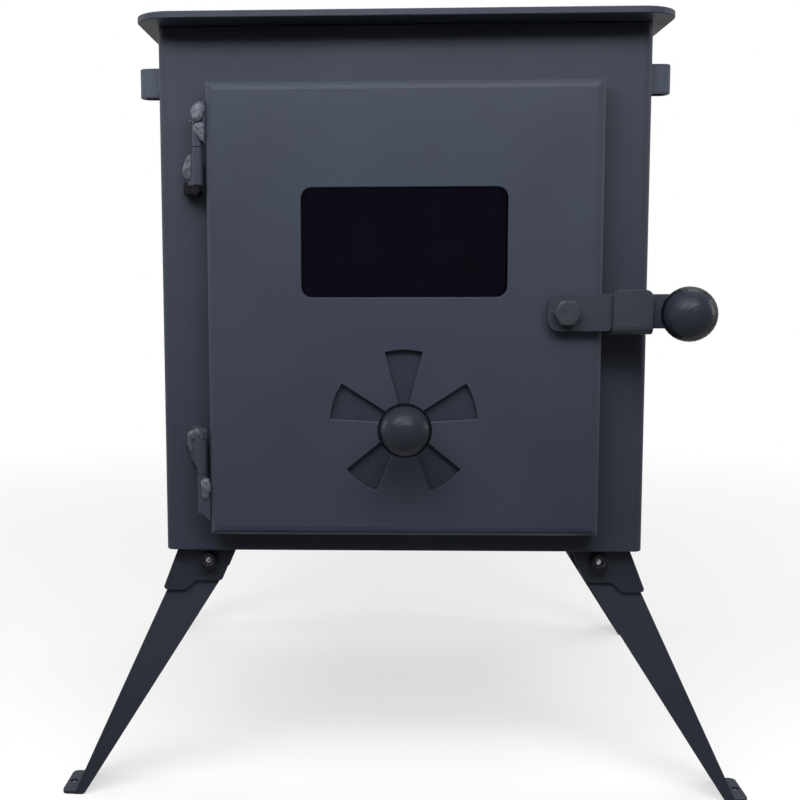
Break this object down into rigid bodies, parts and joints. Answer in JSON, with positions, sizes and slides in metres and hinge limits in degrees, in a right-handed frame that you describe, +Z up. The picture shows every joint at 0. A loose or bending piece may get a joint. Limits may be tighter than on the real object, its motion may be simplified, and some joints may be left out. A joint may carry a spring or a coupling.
{
  "type": "camping wood stove",
  "caption": "Black steel camping wood stove on four splayed folding legs, front door with a small window, star shaped air vent, ball knob and lever latch.",
  "frame": {"origin": "centre of the bounding box's base, on the floor between the four feet", "axes": "+X to the stove's right as seen from the front, -Y out of the door, +Z up"},
  "size_m": [0.4226, 0.4528, 0.5117],
  "materials": {
    "body_paint": "satin slate grey heat-proof paint",
    "door_paint": "satin slate grey heat-proof paint",
    "leg_paint": "satin slate grey paint",
    "fastener_steel": "painted steel fasteners, semi-gloss",
    "inner_steel": "heat-proof paint dulled by fire",
    "knob_plastic": "glossy black",
    "window_glass": "clear, dark against the unlit chamber",
    "seal_rope": "woven glass fibre"
  },
  "bodies": {
    "firebox": {"body_wrap": "body_paint", "rear_panel": "body_paint", "base_plate": "inner_steel", "top_plate": "body_paint", "flue_collar": "body_paint", "baffle_plate": "inner_steel", "baffle_rail_left": "inner_steel", "baffle_rail_right": "inner_steel", "fire_grate": "inner_steel", "latch_keeper": "body_paint", "hinge_upper_body": "body_paint", "hinge_lower_body": "body_paint", "hinge_upper_pin": "fastener_steel", "hinge_lower_pin": "fastener_steel", "hinge_lower_washer": "fastener_steel", "leg_bracket_front_left": "leg_paint", "leg_screw_front_left": "fastener_steel", "leg_nut_front_left": "fastener_steel", "shelf_loop_front_left": "body_paint", "leg_bracket_rear_left": "leg_paint", "leg_screw_rear_left": "fastener_steel", "leg_nut_rear_left": "fastener_steel", "shelf_loop_rear_left": "body_paint", "leg_bracket_front_right": "leg_paint", "leg_screw_front_right": "fastener_steel", "leg_nut_front_right": "fastener_steel", "shelf_loop_front_right": "body_paint", "leg_bracket_rear_right": "leg_paint", "leg_screw_rear_right": "fastener_steel", "leg_nut_rear_right": "fastener_steel", "shelf_loop_rear_right": "body_paint"},
    "door": {"door_panel": "door_paint", "seal_frame": "inner_steel", "door_rope": "seal_rope", "window_gasket": "seal_rope", "window_glass": "window_glass", "glass_retainer_upper": "inner_steel", "glass_retainer_lower": "inner_steel", "retainer_nut_1": "fastener_steel", "retainer_nut_2": "fastener_steel", "retainer_nut_3": "fastener_steel", "retainer_nut_4": "fastener_steel", "hinge_upper_door": "door_paint", "hinge_lower_door": "door_paint", "latch_spacer": "fastener_steel", "latch_bolt": "fastener_steel", "latch_nut": "fastener_steel"},
    "vent": {"vent_disc": "door_paint", "vent_knob": "knob_plastic", "vent_spindle": "fastener_steel", "vent_washer": "fastener_steel", "vent_nut": "fastener_steel"},
    "latch": {"latch_bar": "door_paint", "ball_knob": "knob_plastic", "ball_stud": "fastener_steel"},
    "leg_front_left": {"leg_front_left": "leg_paint"},
    "leg_rear_left": {"leg_rear_left": "leg_paint"},
    "leg_front_right": {"leg_front_right": "leg_paint"},
    "leg_rear_right": {"leg_rear_right": "leg_paint"}
  },
  "joints": [
    {"name": "door_hinge", "type": "hinge", "parent": "firebox", "child": "door", "pos_m": [-0.11665, -0.1766, 0.30065], "axis": [0, 0, -1], "range_deg": [0, 160]},
    {"name": "vent_turn", "type": "hinge", "parent": "door", "child": "vent", "pos_m": [0, -0.1836, 0.23705], "axis": [0, 1, 0], "continuous": true},
    {"name": "latch_lift", "type": "hinge", "parent": "door", "child": "latch", "pos_m": [0.09005, -0.1902, 0.30015], "axis": [0, -1, 0], "range_deg": [0, 90]},
    {"name": "leg_fold_front_left", "type": "hinge", "parent": "firebox", "child": "leg_front_left", "pos_m": [-0.1166, -0.1376, 0.1508], "axis": [0, -1, 0], "range_deg": [0, 95]},
    {"name": "leg_fold_rear_left", "type": "hinge", "parent": "firebox", "child": "leg_rear_left", "pos_m": [-0.1166, 0.1904, 0.1508], "axis": [0, -1, 0], "range_deg": [0, 95]},
    {"name": "leg_fold_front_right", "type": "hinge", "parent": "firebox", "child": "leg_front_right", "pos_m": [0.1166, -0.1376, 0.1508], "axis": [0, 1, 0], "range_deg": [0, 66]},
    {"name": "leg_fold_rear_right", "type": "hinge", "parent": "firebox", "child": "leg_rear_right", "pos_m": [0.1166, 0.1904, 0.1508], "axis": [0, 1, 0], "range_deg": [0, 66]}
  ]
}
